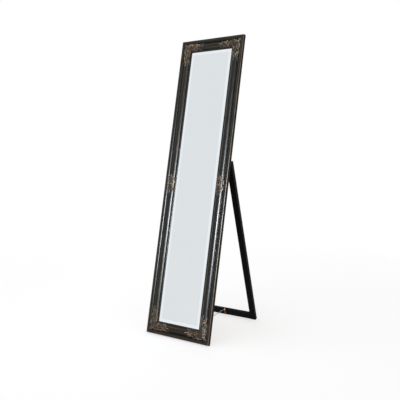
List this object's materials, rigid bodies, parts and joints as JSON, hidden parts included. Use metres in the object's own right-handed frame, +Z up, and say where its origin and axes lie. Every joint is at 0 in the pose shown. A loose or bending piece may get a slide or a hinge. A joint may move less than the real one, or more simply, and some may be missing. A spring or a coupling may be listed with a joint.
{
  "type": "floor mirror",
  "caption": "Tall free-standing mirror in a moulded frame with carved leaf ornaments; it leans back on a hinged wooden stand that a chain stops.",
  "frame": {"origin": "on the floor, at the middle of the standing mirror's bounding box", "axes": "+Z up; the glass faces -Y and a little up; +X to the right of someone who looks into the glass"},
  "size_m": [0.4, 0.5454, 1.6149],
  "materials": {
    "bronzed_moulding": "black over bronze paint, rubbed at the edges",
    "rubbed_carving": "bronze paint, rubbed pale on the high leaves",
    "silvered_glass": "silvered float glass with a bevelled border",
    "hardboard": "brown hardboard, smooth side out",
    "bright_steel": "zinc-plated sheet steel",
    "aged_brass": "brass-plated wire, dulled",
    "dull_chain_steel": "dull plated steel wire",
    "screw_steel": "brass-plated steel",
    "hinge_brass": "brass-plated pressed steel",
    "beech": "fluted hardwood pegs, glued in",
    "black_stained_wood": "satin black stain"
  },
  "bodies": {
    "frame": {"bottom_rail": "bronzed_moulding", "top_rail": "bronzed_moulding", "left_stile": "bronzed_moulding", "right_stile": "bronzed_moulding", "corner_ornament_bottom_left": "rubbed_carving", "corner_ornament_bottom_right": "rubbed_carving", "corner_ornament_top_left": "rubbed_carving", "corner_ornament_top_right": "rubbed_carving", "middle_ornament_left": "rubbed_carving", "middle_ornament_right": "rubbed_carving", "mirror_glass": "silvered_glass", "backing_board": "hardboard", "glazing_points": "bright_steel", "corner_nails": "bright_steel", "frame_screw_eye": "aged_brass", "left_hinge_frame_leaf": "hinge_brass", "left_hinge_frame_screws": "screw_steel", "left_hinge_pin": "hinge_brass", "right_hinge_frame_leaf": "hinge_brass", "right_hinge_frame_screws": "screw_steel", "right_hinge_pin": "hinge_brass"},
    "stand": {"left_leg": "black_stained_wood", "right_leg": "black_stained_wood", "crossbar": "black_stained_wood", "stand_top_rail": "black_stained_wood", "stand_dowels": "beech", "crossbar_hook": "aged_brass", "chain": "dull_chain_steel", "left_hinge_stand_leaf": "hinge_brass", "left_hinge_stand_screws": "screw_steel", "right_hinge_stand_leaf": "hinge_brass", "right_hinge_stand_screws": "screw_steel"}
  },
  "joints": [
    {"name": "stand_hinge", "type": "hinge", "parent": "frame", "child": "stand", "pos_m": [0, -0.04181, 0.92681], "axis": [-1, 0, 0], "range_deg": [0, 29.4], "deforming": ["chain"]}
  ]
}
